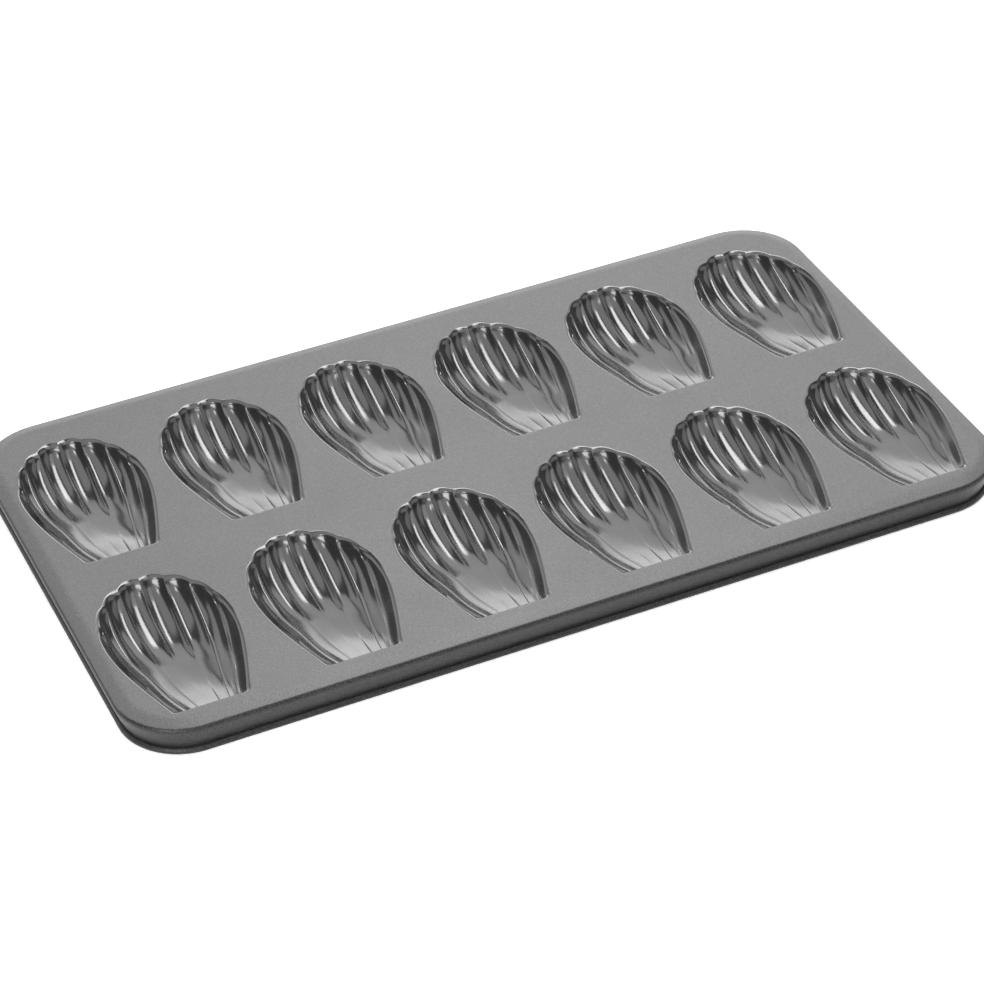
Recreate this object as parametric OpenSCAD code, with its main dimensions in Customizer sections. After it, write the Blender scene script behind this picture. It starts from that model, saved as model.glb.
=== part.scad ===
// Twelve-cup madeleine pan of pressed, coated sheet steel, stood on the hem of its skirt.
// Origin: middle of the pan, on the surface it stands on. X runs along the pan, Y from front to back.

/* [Pan] */
// Overall length, along the row of cups
pan_length = 377.3; // [372:0.1:430]
// Overall width, front to back
pan_width = 215.9; // [212:0.1:250]
// Height from the table to the flat deck
pan_height = 14.6; // [14.4:0.1:22]
// Corner radius of the outline, seen from above
corner_r = 28; // [16:1:40]
// Thickness of the steel sheet
sheet_t = 0.7; // [0.5:0.05:1]

/* [Rim] */
// Width of the gently falling border round the flat deck
border_w = 5.5; // [3:0.1:8]
// How far that border falls towards the edge
border_drop = 0.9; // [0.3:0.1:1.5]
// Outer radius of the bend from the border into the skirt
shoulder_r = 2; // [1.5:0.1:3.5]
// How far the hem is set back under the shoulder
hem_inset = 1.2; // [0.4:0.1:2.4]
// Outer diameter of the rolled hem
hem_d = 2.8; // [2.4:0.1:3.6]
// Clearance round the wire inside the hem
wire_clearance = 0.05; // [0.02:0.01:0.15]
// Width of the flat that the hem stands on
foot_w = 1; // [0.5:0.1:1.5]

/* [Layout] */
// Flat deck left beside the first and the last cup of a row
side_margin = 1; // [0.4:0.1:6]
// Flat deck left in front of the front row
front_margin = 3.8; // [1:0.1:8]
// How much of the depth left over lies between the rows; the rest lies behind the back row
row_gap_share = 0.624; // [0.3:0.001:0.8]

/* [Cup] */
// Length from the flat end to the middle of the scalloped end
cup_length = 81.6; // [72:0.2:83]
// Width at the widest place
cup_width = 51; // [46:0.5:53]
// Distance of the widest place from the flat end
widest_at = 46; // [38:1:52]
// Width of the flat end
flat_end_w = 30.6; // [24:0.2:34]
// Corner radius of the flat end
flat_end_r = 2; // [1:0.1:4]
// Depth of the ribs at the deepest place
cup_depth = 12.2; // [8:0.1:12.4]
// Depth of the floor at the flat end
end_depth = 3; // [1.5:0.1:5]
// Slope of the end wall, as run over depth
end_wall_run = 0.25; // [0.1:0.05:0.6]
// Where the cup is deepest, as a share of its length
deepest_at = 0.62; // [0.5:0.01:0.7]

/* [Flutes] */
// Number of flutes across the shell
flutes = 8; // [6:2:10]
// Depth of a flute below its two ribs
flute_depth = 1.3; // [0.4:0.1:1.4]
// How far a flute's lobe stands out at the scalloped end
lobe_out = 2.2; // [0.8:0.1:2.4]
// Angle that half of the scalloped end covers
scallop_angle = 84; // [76:1:86]

/* [Hidden] */
$fn = 64;
half_flutes = flutes / 2;
columns = 6;

// Rim section, as offsets outwards from the flat deck's edge
border_slope = atan(border_drop / border_w);
shoulder = [border_w - shoulder_r * sin(border_slope), -border_drop - shoulder_r * cos(border_slope)];
rim_out = shoulder[0] + shoulder_r;
hem_r = hem_d / 2;
foot_cut = hem_r - sqrt(hem_r * hem_r - foot_w * foot_w / 4);
hem = [rim_out - hem_inset - hem_r, -pan_height + hem_r - foot_cut];
wire_r = hem_r - sheet_t - wire_clearance;
// Straight parts sink this far into a bend, so that they cross it and don't graze it
sink = 0.02;
// The skirt runs from the outside of the shoulder's bend to the inside of the hem's
drop = hem - shoulder;
skirt_lean = -atan2(drop[1], drop[0])
    - acos((shoulder_r - sheet_t + hem_r - 2 * sink) / norm(drop));
skirt_out = [cos(skirt_lean), -sin(skirt_lean)];
skirt_down = [-sin(skirt_lean), -cos(skirt_lean)];
border_up = [sin(border_slope), cos(border_slope)];

// Flat deck
deck_x = pan_length / 2 - rim_out;
deck_y = pan_width / 2 - rim_out;
deck_r = corner_r - rim_out;

// Cup outline: an ellipse at the scalloped end, drawn in to the flat end
cup_a = cup_width / 2;
cup_b = cup_length - widest_at;
end_half = flat_end_w / 2;
// How the ribs and sides bow out on their way to the scalloped end
side_bow = 1.15;
// How the depth falls off towards the scalloped end
wall_power = 2.2;
wall_root = 0.68;
// The same across the shell: nearly flat at the flat end, and rounder from a share of the length on
flat_floor = [3.2, 0.62];
round_floor = [1.7, 0.85];
round_from = 0.45;
// How fast the end wall's slope dies out along the floor
end_wall_fade = 8;
// A flute's floor is broad and flat, its sides are steep, and the rib between two flutes is rounded
flute_flatness = 3.2;
rib_round = 0.14;
// The farther out a flute lies, the nearer its floor comes to the inner rib, and the longer and
// straighter its outer side is
flute_skew = 0.56;
outer_ease = 2.4;
// Share of their depth that the middle and the outer flutes have at the flat end
middle_start = 0.06;
outer_start = 0.66;
// The flutes deepen over this stretch, as shares of the length, and the lobes grow over theirs
flute_stretch = [0.46, 0.68];
lobe_stretch = [0.55, 0.9];
// Lobes shrink rib by rib towards the sides
lobe_fade = 0.2;
// The outermost flutes are cut sideways only this much, so that the wall stays under the rim
outer_sideways = 0.5;

// Rows of cups: the columns share the deck's length, the rows share its width
column_pitch = (2 * (deck_x - side_margin) - cup_width) / (columns - 1);
cup_reach = cup_length + lobe_out;
front_line = front_margin - deck_y;
spare_width = 2 * (deck_y - cup_reach) - front_margin;
back_line = front_line + cup_reach + row_gap_share * spare_width;

// Grid of the shell's faces
across = 4;
floor_steps = 3;
wall_steps = 5;
steps = floor_steps + wall_steps;
grid_columns = flutes * across;

coating = "#5d5f61";
cup_coating = "#4b4c4e";
wire_steel = "#a9abad";

// Where a rib meets the scalloped end; k counts ribs from the middle
function rib_end(k) = let (angle = scallop_angle * k / half_flutes)
    [cup_a * sin(angle), widest_at + cup_b * cos(angle)];

// The cup's side at y, from the flat end to the ellipse
function side_x(y) = y <= widest_at
    ? end_half + (cup_a - end_half) * sin(90 * pow(y / widest_at, side_bow))
    : cup_a * sqrt(max(0, 1 - pow((y - widest_at) / cup_b, 2)));

// The flat end's line, with its two corners rounded into the sides
corner_half = side_x(flat_end_r);
function end_line_y(x) = let (into_corner = max(0, abs(x) - (corner_half - flat_end_r)))
    flat_end_r - sqrt(max(0, flat_end_r * flat_end_r - into_corner * into_corner));

// Plan position on rib k, with t from 0 at the flat end to 1 at the scalloped end
function rib_plan(k, t) = let (
        start_x = corner_half * k / half_flutes,
        start_y = end_line_y(start_x),
        end = rib_end(k),
        y = start_y + (end[1] - start_y) * t)
    k == half_flutes ? [side_x(y), y]
        : [start_x + (end[0] - start_x) * sin(90 * pow(y / end[1], side_bow)), y];

// Rises softly from 0 at low to 1 at high
function eased(x, low, high) = let (part = min(1, max(0, (x - low) / (high - low))))
    part * part * (3 - 2 * part);

// Share of the full depth that rib k reaches
function rib_share(k, t) = let (
        shape = flat_floor + (round_floor - flat_floor) * eased(t, 0, round_from))
    pow(1 - pow(k / half_flutes, shape[0]), shape[1]);

// How far past the deepest place t is, as a share
function past_deepest(t) = max(0, (t - deepest_at) / (1 - deepest_at));

// Depth along the shell, as a share: a long floor, then the steep scalloped wall
function depth_along(t) = t < deepest_at
    ? end_depth / cup_depth + (1 - end_depth / cup_depth) * sin(90 * t / deepest_at)
    : pow(1 - pow(past_deepest(t), wall_power), wall_root);

// Cross shape of the flute beside rib k, from 0 at one rib over 1 on its floor to 0 at the next
function flute_hollow(f, k) = let (
        outward = k / half_flutes,
        bent = pow(f, 1 - flute_skew * outward),
        flatness = flute_flatness - (bent > 0.5 ? outer_ease * outward : 0),
        hollow = 1 - pow(abs(2 * bent - 1), flatness),
        crest = sqrt(1 + rib_round * rib_round) - rib_round)
    (sqrt(hollow * hollow + rib_round * rib_round) - rib_round) / crest;

// How much of its depth the flute beside rib k has at t: gone at the rim
function flute_share(k, t) = let (
        outer = min(1, max(0, (k - 0.5) / (half_flutes - 2))),
        start = middle_start + (outer_start - middle_start) * outer)
    (start + (1 - start) * eased(t, flute_stretch[0], flute_stretch[1]))
        * sqrt(1 - pow(past_deepest(t), 4));

// A point of the shell's inner face; u counts ribs across, from -half_flutes to half_flutes.
// Each flute is hollowed square to the face between its two ribs.
function shell_point(u, t) = let (
        side = u < 0 ? -1 : 1,
        v = abs(u),
        k = min(floor(v), half_flutes - 1),
        f = v - k,
        inner_rib = rib_plan(k, t),
        outer_rib = rib_plan(k + 1, t),
        inner_depth = cup_depth * depth_along(t) * rib_share(k, t),
        outer_depth = cup_depth * depth_along(t) * rib_share(k + 1, t),
        run = norm(outer_rib - inner_rib),
        face = [run, inner_depth - outer_depth] / norm([run, inner_depth - outer_depth]),
        cut = flute_depth * flute_hollow(f, k) * flute_share(k, t),
        sideways = cut * face[1] * (k == half_flutes - 1 ? outer_sideways : 1),
        angle = scallop_angle * v / half_flutes,
        lobe = lobe_out * sin(180 * f) * eased(t, lobe_stretch[0], lobe_stretch[1])
            * (1 - lobe_fade * v),
        depth = inner_depth * (1 - f) + outer_depth * f + cut * face[0],
        plan = inner_rib * (1 - f) + outer_rib * f + (outer_rib - inner_rib) / run * sideways
            + lobe * [sin(angle), cos(angle)],
        wall_run = end_wall_run * depth * pow(1 - t, end_wall_fade))
    [side * plan[0], plan[1] + wall_run, -depth];

// Outward normal of the shell, from its two directions
function shell_normal(u, t) = let (
        du = shell_point(min(u + 0.1, half_flutes - 0.01), t)
            - shell_point(max(u - 0.1, 0.01 - half_flutes), t),
        dt = shell_point(u, min(t + 0.02, 0.99)) - shell_point(u, max(t - 0.02, 0)),
        n = cross(dt, du))
    n / norm(n);

function step_t(j) = j <= floor_steps ? deepest_at * j / floor_steps
    : deepest_at + (1 - deepest_at) * sin(90 * (j - floor_steps) / wall_steps);
function column_u(i) = i / across - half_flutes;

// Shell grid: the flat end's rim first, then the rows from the flat end to the scallops
function rim_start(i) = let (x = corner_half * column_u(i) / half_flutes) [x, end_line_y(x), 0];
function on_edge(i, j) = i == 0 || i == grid_columns || j == steps;
inner_points = concat(
    [for (i = [1:grid_columns - 1]) rim_start(i)],
    [for (j = [0:steps]) for (i = [0:grid_columns])
        let (p = shell_point(column_u(i), step_t(j)))
        on_edge(i, j) ? [p[0], p[1], 0] : p]);
outer_points = concat(
    [for (i = [1:grid_columns - 1]) rim_start(i) - [0, 0, sheet_t]],
    [for (j = [0:steps]) for (i = [0:grid_columns])
        let (p = shell_point(column_u(i), step_t(j)))
        on_edge(i, j) ? [p[0], p[1], -sheet_t]
            : p + sheet_t * shell_normal(column_u(i), step_t(j))]);
point_count = len(inner_points);

// Index of a grid point; row -1 is the flat end's rim and shares its ends with row 0
function grid(i, j) = j < 0
    ? (i == 0 || i == grid_columns ? grid_columns - 1 + i : i - 1)
    : grid_columns - 1 + j * (grid_columns + 1) + i;

cell_faces = [for (j = [-1:steps - 1]) for (i = [0:grid_columns - 1])
    let (a = grid(i, j), b = grid(i + 1, j), c = grid(i + 1, j + 1), d = grid(i, j + 1))
    each (a == d ? [[a, b, c]] : b == c ? [[a, b, d]] : [[a, b, c], [a, c, d]])];
rim_loop = concat(
    [for (i = [0:grid_columns]) grid(i, -1)],
    [for (j = [1:steps]) grid(grid_columns, j)],
    [for (i = [1:grid_columns]) grid(grid_columns - i, steps)],
    [for (j = [1:steps - 1]) grid(0, steps - j)]);
rim_count = len(rim_loop);
rim_faces = [for (i = [0:rim_count - 1])
    let (a = rim_loop[i], b = rim_loop[(i + 1) % rim_count])
    each [[b, a, a + point_count], [b, a + point_count, b + point_count]]];
cup_faces = concat(
    cell_faces,
    [for (f = cell_faces) [f[2] + point_count, f[1] + point_count, f[0] + point_count]],
    rim_faces);
rim_outline = [for (i = rim_loop) [inner_points[i][0], inner_points[i][1]]];

// Place of the cup in a column, counted from 1 at the left, on a row's line
function cup_place(column, line) =
    [(column - (columns + 1) / 2) * column_pitch, line, pan_height];

// One shell cup, open at the deck, as a sheet of even thickness
module shell_cup(column, line) {
    color(cup_coating)
        translate(cup_place(column, line))
            polyhedron(concat(inner_points, outer_points), cup_faces, convexity = 8);
}

// The flat deck, with an opening for every cup
module deck_plate() {
    color(coating)
        difference() {
            translate([0, 0, pan_height - sheet_t]) linear_extrude(sheet_t) rounded_deck();
            for (line = [front_line, back_line], column = [1:columns])
                translate(cup_place(column, line) - [0, 0, 2 * sheet_t])
                    linear_extrude(3 * sheet_t) polygon(rim_outline);
        }
}

module rounded_deck() {
    square([2 * (deck_x - deck_r), 2 * deck_y], center = true);
    square([2 * deck_x, 2 * (deck_y - deck_r)], center = true);
    for (x = [-1, 1], y = [-1, 1])
        translate([x * (deck_x - deck_r), y * (deck_y - deck_r)]) circle(deck_r);
}

// Section of the rim: border, shoulder, skirt and the hollow rolled hem
module rim_section() {
    face_r = shoulder_r - sink;
    back_r = face_r - sheet_t;
    skirt_end = hem - (hem_r - sink) * skirt_out;
    difference() {
        union() {
            translate(shoulder) circle(shoulder_r);
            polygon([[0, 0], shoulder + face_r * border_up, shoulder,
                shoulder + face_r * skirt_out, skirt_end + sheet_t * skirt_out, skirt_end,
                [0, skirt_end[1]]]);
        }
        translate(shoulder) circle(shoulder_r - sheet_t);
        polygon([[-1, -sheet_t], [0, -sheet_t], shoulder + back_r * border_up, shoulder,
            shoulder + back_r * skirt_out, skirt_end + skirt_down,
            [-1, skirt_end[1] + skirt_down[1]]]);
    }
    difference() {
        translate(hem) circle(hem_r);
        translate(hem) circle(hem_r - sheet_t);
        translate([hem[0] - hem_r, -pan_height - hem_r]) square([hem_d, hem_r]);
    }
}

// Carries a section once round the deck: four bends and four straight sides
module round_the_deck() {
    corner_x = deck_x - deck_r;
    corner_y = deck_y - deck_r;
    for (quarter = [0:3]) {
        right = quarter == 0 || quarter == 3;
        back = quarter < 2;
        along_x = quarter % 2 == 1;
        translate([(right ? 1 : -1) * corner_x, (back ? 1 : -1) * corner_y, pan_height])
            rotate(90 * quarter) {
                rotate_extrude(angle = 90) translate([deck_r, 0]) children();
                translate([0, along_x ? -2 * corner_x : -2 * corner_y, 0])
                    rotate([90, 0, 0]) mirror([0, 0, 1])
                        linear_extrude(along_x ? 2 * corner_x : 2 * corner_y)
                            translate([deck_r, 0]) children();
            }
    }
}

// Border, shoulder and skirt, ending in the hem that the pan stands on
module rim_and_skirt() {
    color(coating) round_the_deck() rim_section();
}

// Steel wire that the hem is rolled round
module hem_wire() {
    color(wire_steel) round_the_deck() translate(hem) circle(wire_r);
}

deck_plate();
rim_and_skirt();
hem_wire();
shell_cup(1, front_line);  // front_cup_1
shell_cup(2, front_line);  // front_cup_2
shell_cup(3, front_line);  // front_cup_3
shell_cup(4, front_line);  // front_cup_4
shell_cup(5, front_line);  // front_cup_5
shell_cup(6, front_line);  // front_cup_6
shell_cup(1, back_line);  // back_cup_1
shell_cup(2, back_line);  // back_cup_2
shell_cup(3, back_line);  // back_cup_3
shell_cup(4, back_line);  // back_cup_4
shell_cup(5, back_line);  // back_cup_5
shell_cup(6, back_line);  // back_cup_6
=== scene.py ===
import bmesh
import bpy
import math
import numpy as np
from mathutils import Matrix, Vector


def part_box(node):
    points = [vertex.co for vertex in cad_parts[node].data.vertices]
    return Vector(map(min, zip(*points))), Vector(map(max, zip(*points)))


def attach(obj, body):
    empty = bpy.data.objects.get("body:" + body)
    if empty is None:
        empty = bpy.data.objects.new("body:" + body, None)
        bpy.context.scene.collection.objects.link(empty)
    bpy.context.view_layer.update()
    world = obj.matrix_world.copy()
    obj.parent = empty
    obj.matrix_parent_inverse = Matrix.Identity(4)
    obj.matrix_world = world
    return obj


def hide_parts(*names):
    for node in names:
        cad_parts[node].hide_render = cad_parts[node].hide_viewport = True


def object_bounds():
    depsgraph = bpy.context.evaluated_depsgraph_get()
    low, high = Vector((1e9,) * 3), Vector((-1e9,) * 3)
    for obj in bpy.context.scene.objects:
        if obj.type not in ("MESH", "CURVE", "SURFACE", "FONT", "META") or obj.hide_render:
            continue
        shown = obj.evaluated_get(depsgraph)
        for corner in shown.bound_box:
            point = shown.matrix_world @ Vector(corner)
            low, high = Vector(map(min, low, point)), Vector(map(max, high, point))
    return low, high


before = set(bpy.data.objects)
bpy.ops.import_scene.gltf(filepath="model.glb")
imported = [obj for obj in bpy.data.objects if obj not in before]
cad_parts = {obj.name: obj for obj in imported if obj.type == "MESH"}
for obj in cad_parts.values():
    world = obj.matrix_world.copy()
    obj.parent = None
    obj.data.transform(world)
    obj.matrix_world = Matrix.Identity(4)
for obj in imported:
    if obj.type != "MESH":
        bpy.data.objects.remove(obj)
cad_low, cad_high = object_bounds()

# The twelve shell cups: pressed into the sheet, each with a flat end towards the front,
# eight flutes that fan out to a scalloped end, and a small radius where it meets the deck.
# Lengths are in millimetres, and a share t runs from the flat end (0) to the scalloped rim (1).
MM = 0.001
deck_top = cad_high.z
sheet = 0.7
cup_length, cup_width, widest_at = 81.6, 51.0, 46.0
flat_end_half, flat_end_r = 15.3, 2.0
cup_depth, end_depth, end_wall_run, deepest_at = 12.2, 3.0, 0.25, 0.62
half_flutes, flute_depth, lobe_out, scallop_angle = 4, 1.3, 2.2, 84.0
flute_flatness, rib_round, flute_skew, outer_ease = 3.2, 0.14, 0.56, 2.4
lip_r, scallop_lip_r = 1.0, 1.8
cup_a, cup_b = cup_width / 2, cup_length - widest_at
# The shares of the way over which each form comes in
floor_stretch, flute_stretch = (0.0, 0.45), (0.46, 0.68)
lobe_stretch, lip_stretch = (0.55, 0.9), (0.8, 1.0)
lobe_fade, outer_sideways = 0.2, 0.5
# The floor's section, flat near the flat end and rounder later, as two powers of the way out
flat_floor, round_floor = (3.2, 0.62), (1.7, 0.85)
# Powers that bend the sides, the scalloped wall, the end wall and the flutes' run to the rim
side_bend, wall_bend, wall_rise, end_wall_bend, flute_end_bend = 1.15, 2.2, 0.68, 8, 4
# A flute's depth at the flat end: the least, what the outer flutes have more, and where that starts
end_flute_least, end_flute_more, end_flute_from, end_flute_over = 0.06, 0.6, 0.5, 2
# The coating's noises, by turns in a metre, and how its flecks and clouds are drawn from them
fleck_turns, cloud_turns, peel_turns = 1900.0, 38.0, 1500.0
fine_detail, cloud_detail = 2.0, 3.0
fleck_start, fleck_full = 0.40, 0.72
cloud_low, cloud_high, cloud_swing = 0.3, 0.7, 0.03
green_share, blue_share = 1.01, 1.03
peel_height = 0.00004


def coating_finish(name, tone, roughness, peel, fleck, ior=1.85):
    # Dark grey non-stick enamel, sprayed on and baked: fine orange peel with tiny pale flecks
    material = bpy.data.materials.new(name)
    material.use_nodes = True
    nodes, links = material.node_tree.nodes, material.node_tree.links
    shader = nodes["Principled BSDF"]
    shader.inputs["Metallic"].default_value = 0.0
    shader.inputs["IOR"].default_value = ior
    place = nodes.new("ShaderNodeTexCoord")

    def grain(turns, detail):
        noise = nodes.new("ShaderNodeTexNoise")
        noise.inputs["Scale"].default_value = turns
        noise.inputs["Detail"].default_value = detail
        links.new(place.outputs["Object"], noise.inputs["Vector"])
        return noise.outputs["Fac"]

    flecks = grain(fleck_turns, fine_detail)
    clouds = grain(cloud_turns, cloud_detail)
    ramp = nodes.new("ShaderNodeValToRGB")
    ramp.color_ramp.elements[0].position = fleck_start
    ramp.color_ramp.elements[0].color = (tone, tone * green_share, tone * blue_share, 1.0)
    ramp.color_ramp.elements[1].position = fleck_full
    ramp.color_ramp.elements[1].color = (tone + fleck, tone + fleck, tone + fleck, 1.0)
    links.new(flecks, ramp.inputs["Fac"])
    links.new(ramp.outputs["Color"], shader.inputs["Base Color"])
    sheen = nodes.new("ShaderNodeMapRange")
    sheen.inputs["From Min"].default_value = cloud_low
    sheen.inputs["From Max"].default_value = cloud_high
    sheen.inputs["To Min"].default_value = roughness - cloud_swing
    sheen.inputs["To Max"].default_value = roughness + cloud_swing
    links.new(clouds, sheen.inputs["Value"])
    links.new(sheen.outputs["Result"], shader.inputs["Roughness"])
    orange_peel = nodes.new("ShaderNodeBump")
    orange_peel.inputs["Strength"].default_value = peel
    orange_peel.inputs["Distance"].default_value = peel_height
    links.new(grain(peel_turns, fine_detail), orange_peel.inputs["Height"])
    links.new(orange_peel.outputs["Normal"], shader.inputs["Normal"])
    return material


cup_coating = coating_finish("glossy_grey_coating", tone=0.012, roughness=0.18, peel=0.15, fleck=0.008)


def sin_of(angle):
    return math.sin(math.radians(angle))


def cos_of(angle):
    return math.cos(math.radians(angle))


def end_line(x):
    # The flat end seen from above, with its two rounded corners
    into = max(0.0, abs(x) - (end_half - flat_end_r))
    return flat_end_r - math.sqrt(max(0.0, flat_end_r ** 2 - into ** 2))


def side_line(y):
    # Half the cup's width, y from the flat end
    if y <= widest_at:
        return flat_end_half + (cup_a - flat_end_half) * sin_of(90 * (max(y, 0) / widest_at) ** side_bend)
    return cup_a * math.sqrt(max(0.0, 1 - ((y - widest_at) / cup_b) ** 2))


end_half = side_line(flat_end_r)


def rib_plan(k, t):
    # Where rib k lies, seen from above: 0 is the middle rib and the last is the cup's side
    start_x = end_half * k / half_flutes
    start_y = end_line(start_x)
    angle = scallop_angle * k / half_flutes
    end_x, end_y = cup_a * sin_of(angle), widest_at + cup_b * cos_of(angle)
    y = start_y + (end_y - start_y) * t
    if k == half_flutes:
        return side_line(y), y
    return start_x + (end_x - start_x) * sin_of(90 * (y / end_y) ** side_bend), y


def eased(x, low, high):
    # Rises softly from 0 at low to 1 at high
    part = min(1.0, max(0.0, (x - low) / (high - low)))
    return part * part * (3 - 2 * part)


def flute_hollow(f, k):
    # A flute's floor is flat and the crest of a rib is rounded. The farther out a flute lies, the
    # nearer its floor comes to the inner rib, and the longer and straighter its outer side is.
    outward = k / half_flutes
    bent = f ** (1 - flute_skew * outward)
    flatness = flute_flatness - (outer_ease * outward if bent > 0.5 else 0.0)
    hollow = 1 - abs(2 * bent - 1) ** flatness
    return (math.hypot(hollow, rib_round) - rib_round) / (math.hypot(1, rib_round) - rib_round)


def rib_share(k, t):
    # How much of the full depth a rib reaches: the floor is broad and flat at the flat end
    rounder = eased(t, *floor_stretch)
    inner_power, outer_power = (flat + (bowl - flat) * rounder for flat, bowl in zip(flat_floor, round_floor))
    return (1 - (k / half_flutes) ** inner_power) ** outer_power


def depth_along(t):
    # A long floor that runs down to the deepest place, then the steep scalloped wall
    if t < deepest_at:
        return end_depth / cup_depth + (1 - end_depth / cup_depth) * sin_of(90 * t / deepest_at)
    past = (t - deepest_at) / (1 - deepest_at)
    return max(0.0, 1 - past ** wall_bend) ** wall_rise


def flute_share(k, t):
    # The outer flutes are deep from the flat end on, and the middle ones deepen on the way
    farther_out = min(1.0, max(0.0, (k - end_flute_from) / end_flute_over))
    at_end = end_flute_least + end_flute_more * farther_out
    past = max(0.0, (t - deepest_at) / (1 - deepest_at))
    deepened = at_end + (1 - at_end) * eased(t, *flute_stretch)
    return deepened * math.sqrt(max(0.0, 1 - past ** flute_end_bend))


def shell_point(u, t, lobes=1.0):
    # The shell's upper face: u counts flutes from the middle, and lobes of 0 leaves the scallops out
    side, v = (-1 if u < 0 else 1), abs(u)
    k = min(int(v), half_flutes - 1)
    f = v - k
    inner_rib, outer_rib = Vector(rib_plan(k, t)), Vector(rib_plan(k + 1, t))
    inner_depth, outer_depth = (cup_depth * depth_along(t) * rib_share(rib, t) for rib in (k, k + 1))
    # The flute is hollowed square to the face between its two ribs
    across = outer_rib - inner_rib
    face = Vector((across.length, inner_depth - outer_depth)).normalized()
    hollowed = flute_depth * flute_hollow(f, k) * flute_share(k, t)
    sideways = hollowed * face.y * (outer_sideways if k == half_flutes - 1 else 1.0)
    angle = scallop_angle * v / half_flutes
    lobe = lobes * lobe_out * sin_of(180 * f) * eased(t, *lobe_stretch) * (1 - lobe_fade * v)
    depth = inner_depth * (1 - f) + outer_depth * f + hollowed * face.x
    plan = inner_rib.lerp(outer_rib, f) + across.normalized() * sideways * lobes
    plan += lobe * Vector((sin_of(angle), cos_of(angle)))
    return Vector((side * plan.x, plan.y + end_wall_run * depth * (1 - t) ** end_wall_bend, -depth))


# Columns crowd towards the two sides and rows towards the rim, where the surface bends most.
# Rows below 0 make the end wall, from the rim at the deck down to the floor.
flute_steps, side_steps, end_steps, floor_steps, wall_steps = 14, 22, 9, 34, 46
side_crowding, rim_crowding, end_crowding = 2, 3, 2
columns = [-half_flutes + (i / side_steps) ** side_crowding for i in range(side_steps)]
columns += [k + (1 - cos_of(180 * i / flute_steps)) / 2
            for k in range(1 - half_flutes, half_flutes - 1) for i in range(flute_steps)]
columns += [half_flutes - (1 - i / side_steps) ** side_crowding for i in range(side_steps + 1)]
rows = [-1 + i / end_steps for i in range(end_steps)]
rows += [deepest_at * i / floor_steps for i in range(floor_steps)]
rows += [deepest_at + (1 - deepest_at) * (1 - (1 - i / wall_steps) ** rim_crowding)
         for i in range(wall_steps + 1)]
# Places on the rim, and how far to each side of one its direction is taken
rim_count, rim_look = 720, 0.004


def smooth_rim_point(s):
    # The rim without its scallops: s runs over the flat end, a side, the scalloped end and the
    # other side, 1 for each. The second value is the way out of the cup.
    def at(s):
        if s < 1:
            x = end_half * (2 * s - 1)
            return Vector((x, end_line(x)))
        if s < 2:
            return Vector(rib_plan(half_flutes, s - 1))
        if s < 3:
            p = shell_point(half_flutes * (1 - 2 * (s - 2)), 1.0, 0.0)
            return Vector((p.x, p.y))
        x, y = rib_plan(half_flutes, 4 - s)
        return Vector((-x, y))
    along = at((s + rim_look) % 4) - at((s - rim_look) % 4)
    return at(s), Vector((along.y, -along.x)).normalized()


rim_ring = [smooth_rim_point(4 * i / rim_count) for i in range(rim_count)]
rim_places = np.array([[p.x, p.y] for p, _ in rim_ring])
rim_outward = [n for _, n in rim_ring]


def rounded(p, t):
    # Near the rim the wall leans out over a quarter circle until it lies level with the deck
    bend_r = lip_r + (scallop_lip_r - lip_r) * eased(t, *lip_stretch)
    if -p.z >= bend_r:
        return p
    nearest = int(((rim_places - np.array([p.x, p.y])) ** 2).sum(1).argmin())
    lean_out = bend_r - math.sqrt(max(0.0, bend_r ** 2 - (bend_r + p.z) ** 2))
    way = rim_outward[nearest]
    return Vector((p.x + way.x * lean_out, p.y + way.y * lean_out, p.z))


def cup_surface(u, row):
    at_side = abs(u) >= half_flutes
    foot = shell_point(u, max(row, 0.0))
    if at_side:
        foot.z = 0.0
    if row >= 0:
        return rounded(foot, row)
    x = end_half * u / half_flutes
    top = Vector((x, end_line(x), 0.0))
    return rounded(top.lerp(foot, (1 + row) ** end_crowding), 0.0)


one_cup = [[cup_surface(u, row) for u in columns] for row in rows]
crisp_angle = math.radians(40)
weld = 0.000002


def finish_piece(bm, name, material, node, thickness=0.0):
    # A pressed face gets its sheet thickness below, with its cut edges kept crisp
    for face in bm.faces:
        face.smooth = True
    for edge in bm.edges:
        edge.smooth = not edge.is_boundary and edge.calc_face_angle(0.0) < crisp_angle
    mesh = bpy.data.meshes.new(name)
    bm.to_mesh(mesh)
    bm.free()
    mesh.materials.append(material)
    piece = bpy.data.objects.new(name, mesh)
    bpy.context.scene.collection.objects.link(piece)
    if thickness:
        wall = piece.modifiers.new("sheet", "SOLIDIFY")
        wall.thickness = thickness
        wall.offset = -1.0
        wall.use_even_offset = False
    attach(piece, "root")
    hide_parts(node)
    return piece


def cup_place(node):
    # The middle of the flat end, in millimetres
    low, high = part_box(node)
    return Vector(((low.x + high.x) / 2, low.y, 0)) / MM


last_column, last_row = len(columns) - 1, len(rows) - 1


def pressed_cup(node):
    # A plain grid is drawn onto the shell, and its doubled points in the corners are merged
    place = cup_place(node)
    cup = bmesh.new()
    bmesh.ops.create_grid(cup, x_segments=last_column, y_segments=last_row, size=1.0)
    for vert in cup.verts:
        i = round((vert.co.x + 1) / 2 * last_column)
        j = round((vert.co.y + 1) / 2 * last_row)
        vert.co = (place + one_cup[j][i]) * MM + Vector((0, 0, deck_top))
    bmesh.ops.remove_doubles(cup, verts=cup.verts[:], dist=weld)
    return finish_piece(cup, "pressed_" + node, cup_coating, node, thickness=sheet * MM)


cups_in_row = 6
cup_nodes = [f"{row}_cup_{number + 1}" for row in ("front", "back") for number in range(cups_in_row)]
for node in cup_nodes:
    pressed_cup(node)

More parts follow.
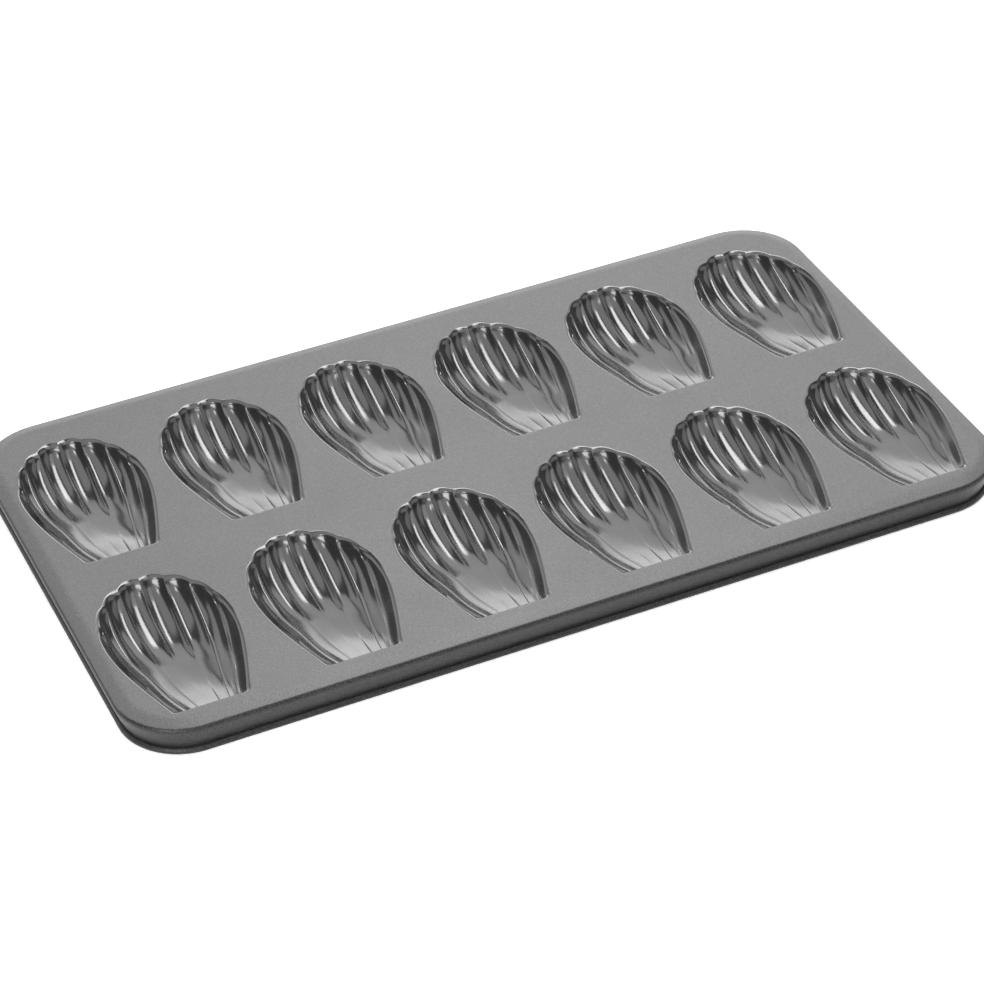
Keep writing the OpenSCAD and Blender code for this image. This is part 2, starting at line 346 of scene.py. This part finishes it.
# The rim: the sheet falls a little round the deck, bends over a soft shoulder into the skirt,
# and rolls outwards round a wire at the foot. One section is carried once round the pan.
# Its coating is satin on the border, as on the deck, with the deck's grey painted lighter as painted light,
# and from the shoulder down it is rougher and in the cups' darker grey.
border_w, border_drop, shoulder_r = 5.5, 0.9, 2.0
hem_r, hem_inset, foot_w, pan_corner_r = 1.4, 1.2, 1.0, 28.0
bend_w, rough_from = 2.4, 1.3
border_steps, shoulder_steps, inner_steps, roll_steps, corner_steps = 6, 12, 8, 40, 28
# The same coating as the cups' has its grey and flecks painted lighter here, as painted light for the broad
# light on the deck and border.
painted_light_deck_coating = coating_finish("satin_grey_coating_painted_lighter", tone=0.050, roughness=0.46, peel=0.55, fleck=0.05,
                              ior=1.6)
skirt_coating = coating_finish("rough_grey_coating", tone=0.010, roughness=0.40, peel=0.8, fleck=0.042,
                               ior=1.38)
slope = math.atan(border_drop / border_w)
shoulder = Vector((border_w - shoulder_r * math.sin(slope), -border_drop - shoulder_r * math.cos(slope)))
rim_out = shoulder.x + shoulder_r
floor_z = -deck_top / MM
hem_centre = Vector((rim_out - hem_inset - hem_r, floor_z + math.sqrt(hem_r ** 2 - foot_w ** 2 / 4)))
drop = hem_centre - shoulder
lean = -math.atan2(drop.y, drop.x) - math.acos((shoulder_r - sheet + hem_r) / drop.length)


def arc(centre, radius, start, stop, steps):
    turns = [start + (stop - start) * i / steps for i in range(steps + 1)]
    return [centre + radius * Vector((math.cos(turn), math.sin(turn))) for turn in turns]


def border_face(below):
    # Level at the deck, then bending down to the border's slope
    face = []
    for i in range(border_steps + 1):
        x = bend_w * i / border_steps
        face.append(Vector((x, -math.tan(slope) * x * x / (2 * bend_w) - below)))
    return face


up = math.pi / 2 - slope
outer = border_face(0.0) + arc(shoulder, shoulder_r, up, -lean, shoulder_steps)
inner = border_face(sheet) + arc(shoulder, shoulder_r - sheet, up, -lean, inner_steps)
# The outer face of the skirt meets the roll in a crease above it
crease_angle = math.acos((hem_r - sheet) / hem_r)
full_roll = arc(hem_centre, hem_r, math.pi - lean - crease_angle, -math.pi - lean, roll_steps)
roll = [Vector((p.x, max(p.y, floor_z))) for p in full_roll]
section = outer + roll + inner[::-1]

deck_half = Vector((cad_high.x / MM - rim_out, cad_high.y / MM - rim_out))
deck_corner_r = pan_corner_r - rim_out
corner_x, corner_y = (deck_half.x - deck_corner_r) * MM, (deck_half.y - deck_corner_r) * MM


def carry_round(bm, points):
    # Spins the section through each corner and runs it straight along each side
    verts = [bm.verts.new(((deck_half.x + p.x) * MM, corner_y, deck_top + p.y * MM)) for p in points]
    ring = [bm.edges.new((verts[i], verts[(i + 1) % len(verts)])) for i in range(len(verts))]
    for x, y, run in ((1, 1, Vector((-2 * corner_x, 0, 0))), (-1, 1, Vector((0, -2 * corner_y, 0))),
                      (-1, -1, Vector((2 * corner_x, 0, 0))), (1, -1, Vector((0, 2 * corner_y, 0)))):
        turned = bmesh.ops.spin(bm, geom=ring, cent=(x * corner_x, y * corner_y, 0), axis=(0, 0, 1),
                                angle=math.pi / 2, steps=corner_steps, use_merge=False)
        ring = [e for e in turned["geom_last"] if isinstance(e, bmesh.types.BMEdge)]
        drawn = bmesh.ops.extrude_edge_only(bm, edges=ring)["geom"]
        moved = [v for v in drawn if isinstance(v, bmesh.types.BMVert)]
        bmesh.ops.translate(bm, verts=moved, vec=run)
        ring = [e for e in drawn if isinstance(e, bmesh.types.BMEdge) and all(v in moved for v in e.verts)]
    bmesh.ops.remove_doubles(bm, verts=bm.verts[:], dist=weld)


rim_form = bmesh.new()
carry_round(rim_form, section)
bmesh.ops.recalc_face_normals(rim_form, faces=rim_form.faces[:])
for face in rim_form.faces:
    face.material_index = 1 if face.calc_center_median().z < deck_top - rough_from * MM else 0
rim = finish_piece(rim_form, "rim_with_rolled_hem", painted_light_deck_coating, "rim_and_skirt")
rim.data.materials.append(skirt_coating)

# The wire in the hem: plain drawn steel, laid along the foot before the sheet is rolled round
# it, and shut in by the roll on every side.
wire_steel = bpy.data.materials.new("drawn_steel_wire")
wire_steel.use_nodes = True
wire_nodes, wire_links = wire_steel.node_tree.nodes, wire_steel.node_tree.links
wire_shader = wire_nodes["Principled BSDF"]
wire_shader.inputs["Metallic"].default_value = 1.0
wire_shader.inputs["Roughness"].default_value = 0.35
wire_place = wire_nodes.new("ShaderNodeTexCoord")
wire_grain = wire_nodes.new("ShaderNodeTexNoise")
wire_grain.inputs["Scale"].default_value = 900.0
wire_tone = wire_nodes.new("ShaderNodeValToRGB")
wire_tone.color_ramp.elements[0].color = (0.42, 0.42, 0.43, 1.0)
wire_tone.color_ramp.elements[1].color = (0.62, 0.62, 0.63, 1.0)
wire_links.new(wire_place.outputs["Object"], wire_grain.inputs["Vector"])
wire_links.new(wire_grain.outputs["Fac"], wire_tone.inputs["Fac"])
wire_links.new(wire_tone.outputs["Color"], wire_shader.inputs["Base Color"])
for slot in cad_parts["hem_wire"].material_slots:
    slot.material = wire_steel

# The deck: the flat of the sheet between the cups, level and satin. Its opening for each cup is
# the cup's own outline, so the two meet on one line.
corner_turns = [math.pi / 2 * i / corner_steps for i in range(corner_steps + 1)]
deck_outline = []
for x, y in ((1, 1), (-1, 1), (-1, -1), (1, -1)):
    first_turn = math.atan2(y, x) - math.pi / 4
    deck_outline += [Vector((x * corner_x + deck_corner_r * MM * math.cos(first_turn + turn),
                             y * corner_y + deck_corner_r * MM * math.sin(first_turn + turn), deck_top))
                     for turn in corner_turns]
cup_outline = one_cup[0][:]
cup_outline += [one_cup[j][last_column] for j in range(1, last_row + 1)]
cup_outline += [one_cup[last_row][i] for i in range(last_column - 1, -1, -1)]
cup_outline += [one_cup[j][0] for j in range(last_row - 1, 0, -1)]
least_edge = 0.00002


def slab(name, outlines, top, bottom):
    # Fills each outline and draws it down to the slab's underside
    form = bmesh.new()
    for points in outlines:
        kept = [p for i, p in enumerate(points) if (p - points[i - 1]).length > least_edge]
        form.faces.new([form.verts.new((p.x, p.y, top)) for p in kept])
    drawn = bmesh.ops.extrude_face_region(form, geom=form.faces[:])["geom"]
    lower = [v for v in drawn if isinstance(v, bmesh.types.BMVert)]
    bmesh.ops.translate(form, verts=lower, vec=(0, 0, bottom - top))
    bmesh.ops.recalc_face_normals(form, faces=form.faces[:])
    mesh = bpy.data.meshes.new(name)
    form.to_mesh(mesh)
    form.free()
    piece = bpy.data.objects.new(name, mesh)
    bpy.context.scene.collection.objects.link(piece)
    return piece


whole_deck = slab("whole_deck", [deck_outline], deck_top, deck_top - sheet * MM)
punch_outlines = []
for node in cup_nodes:
    place = cup_place(node)
    punch_outlines.append([(place + Vector((p.x, p.y, 0))) * MM for p in cup_outline])
punch = slab("cup_punch", punch_outlines, deck_top + MM, deck_top - 2 * MM)
punching = whole_deck.modifiers.new("punching", "BOOLEAN")
punching.operation = "DIFFERENCE"
punching.solver = "EXACT"
punching.object = punch
bpy.context.view_layer.update()
punched_deck = bmesh.new()
punched_deck.from_object(whole_deck, bpy.context.evaluated_depsgraph_get())
for helper in (whole_deck, punch):
    bpy.data.objects.remove(helper)
# The deck's grey is painted lighter than the cups' grey: painted light on one and the same coating.
finish_piece(punched_deck, "flat_deck", painted_light_deck_coating, "deck_plate")

# The table: white paper under the pan. Camera, gloss and transmission rays see it a little
# brighter than it is lit, so that the ground is white and the shadow stays.
table_half, paper_glow = 12.0, 0.35
table_form = bmesh.new()
bmesh.ops.create_grid(table_form, x_segments=1, y_segments=1, size=table_half)
table_mesh = bpy.data.meshes.new("table_top")
table_form.to_mesh(table_mesh)
table_form.free()
table_top = bpy.data.objects.new("table_top", table_mesh)
bpy.context.scene.collection.objects.link(table_top)
paper = bpy.data.materials.new("white_paper")
paper.use_nodes = True
paper_nodes, paper_links = paper.node_tree.nodes, paper.node_tree.links
paper_shader = paper_nodes["Principled BSDF"]
paper_shader.inputs["Base Color"].default_value = (0.9, 0.9, 0.9, 1.0)
paper_shader.inputs["Roughness"].default_value = 0.9
paper_shader.inputs["Emission Color"].default_value = (1.0, 1.0, 1.0, 1.0)
ray = paper_nodes.new("ShaderNodeLightPath")
seen = paper_nodes.new("ShaderNodeMath")
seen.operation = "MAXIMUM"
paper_links.new(ray.outputs["Is Camera Ray"], seen.inputs[0])
paper_links.new(ray.outputs["Is Glossy Ray"], seen.inputs[1])
seen_through = paper_nodes.new("ShaderNodeMath")
seen_through.operation = "MAXIMUM"
paper_links.new(seen.outputs["Value"], seen_through.inputs[0])
paper_links.new(ray.outputs["Is Transmission Ray"], seen_through.inputs[1])
glow = paper_nodes.new("ShaderNodeMath")
glow.operation = "MULTIPLY"
glow.inputs[1].default_value = paper_glow
paper_links.new(seen_through.outputs["Value"], glow.inputs[0])
paper_links.new(glow.outputs["Value"], paper_shader.inputs["Emission Strength"])
table_top.data.materials.append(paper)

# The studio: soft boxes round and above the pan in a grey room, placed by what the coating
# mirrors. The streak light makes the bright streaks in the cups, and the low back light the
# pale back border.


def soft_box(name, place, width, height, radiance, aim=(0, 0, 0)):
    light = bpy.data.lights.new(name, "AREA")
    light.shape = "RECTANGLE"
    light.size = width
    light.size_y = height
    light.energy = radiance * math.pi * width * height
    box = bpy.data.objects.new(name, light)
    bpy.context.scene.collection.objects.link(box)
    box.location = place
    box.rotation_euler = (Vector(aim) - Vector(place)).to_track_quat("-Z", "Y").to_euler()


soft_box("streak_light", (0.42, 0.5, 1.3), width=0.42, height=1.6, radiance=8.4, aim=(0.42, 0.5, 0.0))
soft_box("wall_light", (0.52, -0.90, 1.35), width=1.0, height=1.3, radiance=1.8, aim=(0.52, -0.90, 0.0))
soft_box("back_light", (0.94, 1.99, 0.95), width=2.6, height=2.0, radiance=1.55)
soft_box("low_back_light", (0.70, 2.05, 0.34), width=3.0, height=0.60, radiance=1.5)
soft_box("left_back_light", (-1.45, 1.75, 0.70), width=2.4, height=1.4, radiance=1.2)
soft_box("left_top_light", (-0.78, -0.35, 1.6), width=1.5, height=3.1, radiance=1.35, aim=(-0.78, -0.35, 0.0))
soft_box("front_light", (-0.9, -2.1, 0.9), width=3.2, height=1.5, radiance=0.65)
soft_box("left_front_light", (-0.62, -0.60, 0.30), width=0.5, height=0.3, radiance=6.5, aim=(-0.15, -0.1, 0))
soft_box("right_light", (1.9, -0.5, 1.0), width=1.7, height=1.2, radiance=0.9)
soft_box("corner_light", (-1.15, -0.9, 1.4), width=0.35, height=0.35, radiance=7.0)

room = bpy.data.worlds.new("studio")
bpy.context.scene.world = room
room.use_nodes = True
room.node_tree.nodes["Background"].inputs["Color"].default_value = (0.13, 0.13, 0.13, 1.0)
room.node_tree.nodes["Background"].inputs["Strength"].default_value = 1.0

# The camera: in front, to the left and above, with a long lens
camera_data = bpy.data.cameras.new("camera")
camera_data.sensor_width = 36.0
camera_data.lens = 123.313
camera_data.clip_end = 50.0
camera = bpy.data.objects.new("camera", camera_data)
bpy.context.scene.collection.objects.link(camera)
camera_right = Vector((0.91266841, -0.4064776, -0.04257148))
camera_up = Vector((0.27417516, 0.53168214, 0.80133769))
camera_back = Vector((-0.30309132, -0.74302764, 0.59669555))
turn = Matrix((camera_right, camera_up, camera_back)).transposed().to_4x4()
camera_place = Vector((-0.41999, -1.03562, deck_top + 0.81124))
camera.matrix_world = Matrix.Translation(camera_place) @ turn
bpy.context.scene.camera = camera
bpy.context.scene.view_settings.view_transform = "Standard"
